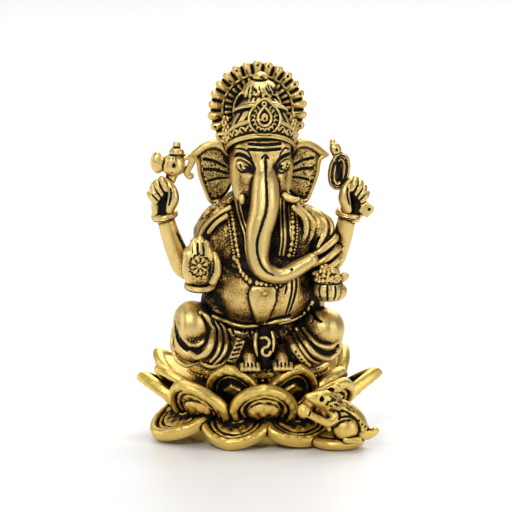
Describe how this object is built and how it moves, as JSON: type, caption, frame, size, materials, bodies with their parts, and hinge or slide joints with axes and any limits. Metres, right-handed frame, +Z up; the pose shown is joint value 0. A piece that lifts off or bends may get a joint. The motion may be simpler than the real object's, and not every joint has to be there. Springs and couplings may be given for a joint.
{
  "type": "ganesha idol",
  "caption": "Small cast-metal seated elephant-headed deity figure on a double lotus base with a mouse, for a shelf, desk or home shrine.",
  "frame": {"origin": "middle of the lotus core's flat underside, on the surface the idol stands on", "axes": "+Z up, the figure faces -Y, +X is the figure's left side"},
  "size_m": [0.0742, 0.0608, 0.1153],
  "materials": {
    "figure_gold": "antique gold plating with black oxide left in the recesses, satin to polished",
    "ornament_gold": "antique gold plating, polished high points and blackened relief ground",
    "lotus_gold": "antique gold plating, polished petal lips and blackened petal hollows",
    "mouse_gold": "antique gold plating with black oxide in the fur and folds"
  },
  "bodies": {
    "root": {"axe": "ornament_gold", "belly_pendant": "ornament_gold", "crown": "ornament_gold", "crown_band": "ornament_gold", "crown_plaque": "ornament_gold", "front_left_arm": "figure_gold", "front_left_hand": "figure_gold", "front_right_arm": "figure_gold", "front_right_bangle": "ornament_gold", "front_right_hand": "figure_gold", "halo": "ornament_gold", "head_shell": "figure_gold", "inner_petal_1": "lotus_gold", "inner_petal_2": "lotus_gold", "inner_petal_3": "lotus_gold", "inner_petal_4": "lotus_gold", "inner_petal_5": "lotus_gold", "inner_petal_6": "lotus_gold", "inner_petal_7": "lotus_gold", "inner_petal_8": "lotus_gold", "left_ear": "figure_gold", "left_foot": "figure_gold", "left_leg": "figure_gold", "left_tusk": "figure_gold", "lotus_core": "lotus_gold", "lower_petal_1": "lotus_gold", "lower_petal_2": "lotus_gold", "lower_petal_3": "lotus_gold", "lower_petal_4": "lotus_gold", "lower_petal_5": "lotus_gold", "lower_petal_6": "lotus_gold", "lower_petal_7": "lotus_gold", "lower_petal_8": "lotus_gold", "modak_bowl": "ornament_gold", "mouse": "mouse_gold", "mouse_plinth_petal": "lotus_gold", "necklace": "ornament_gold", "noose": "ornament_gold", "outer_petal_1": "lotus_gold", "outer_petal_2": "lotus_gold", "outer_petal_3": "lotus_gold", "outer_petal_4": "lotus_gold", "outer_petal_5": "lotus_gold", "outer_petal_6": "lotus_gold", "outer_petal_7": "lotus_gold", "outer_petal_8": "lotus_gold", "rear_left_arm": "figure_gold", "rear_left_bangle": "ornament_gold", "rear_left_hand": "figure_gold", "rear_right_arm": "figure_gold", "rear_right_bangle": "ornament_gold", "rear_right_hand": "figure_gold", "right_ear": "figure_gold", "right_foot": "figure_gold", "right_leg": "figure_gold", "right_tusk": "figure_gold", "shawl": "figure_gold", "torso": "figure_gold", "trunk": "figure_gold", "waist_pleat": "figure_gold"}
  },
  "joints": []
}
